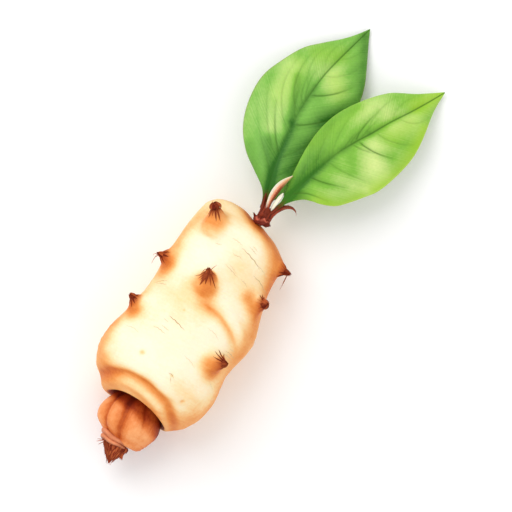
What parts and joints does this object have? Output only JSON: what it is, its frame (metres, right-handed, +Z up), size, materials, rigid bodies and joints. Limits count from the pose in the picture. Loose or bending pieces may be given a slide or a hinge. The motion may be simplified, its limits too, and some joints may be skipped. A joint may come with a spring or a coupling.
{
  "type": "ginger root",
  "caption": "Fresh ginger root lying down: knobbly rhizome with scaly buds, a ribbed end knob under a folded lip, and a short leafy shoot",
  "frame": {"origin": "on the small flat that the rhizome rests on, near its middle", "axes": "+Y from the end knob to the leaves, +X to the right seen from above, +Z up from the surface it lies on"},
  "size_m": [0.0765, 0.2027, 0.0446],
  "materials": {
    "rhizome_skin": "thin cream skin of fresh ginger, soft sheen",
    "knob_cork": "corky brown skin of the older end",
    "knob_fold": "pinkish brown folds",
    "dry_scale": "dry fibrous scale, matte",
    "shoot_skin": "maroon shoot skin",
    "sheath": "pinkish maroon sheath",
    "leaf_left": "green leaf, waxy satin",
    "leaf_right": "yellow-green leaf, waxy satin",
    "bract": "pale pink bract, satin",
    "curled_scale": "dry reddish brown scale"
  },
  "bodies": {
    "root": {"rhizome": "rhizome_skin", "end_knob": "knob_cork", "knob_collar": "knob_fold", "knob_tip_scale": "dry_scale", "bud_scale_top": "dry_scale", "bud_scale_left_upper": "dry_scale", "bud_scale_left_lower": "dry_scale", "bud_scale_centre": "dry_scale", "bud_scale_right_upper": "dry_scale", "bud_scale_far_right": "dry_scale", "bud_scale_right_lower": "dry_scale", "shoot_base": "shoot_skin", "shoot_collar": "sheath", "leaf_left": "leaf_left", "leaf_right": "leaf_right", "bract": "bract", "curled_scale": "curled_scale"}
  },
  "joints": []
}
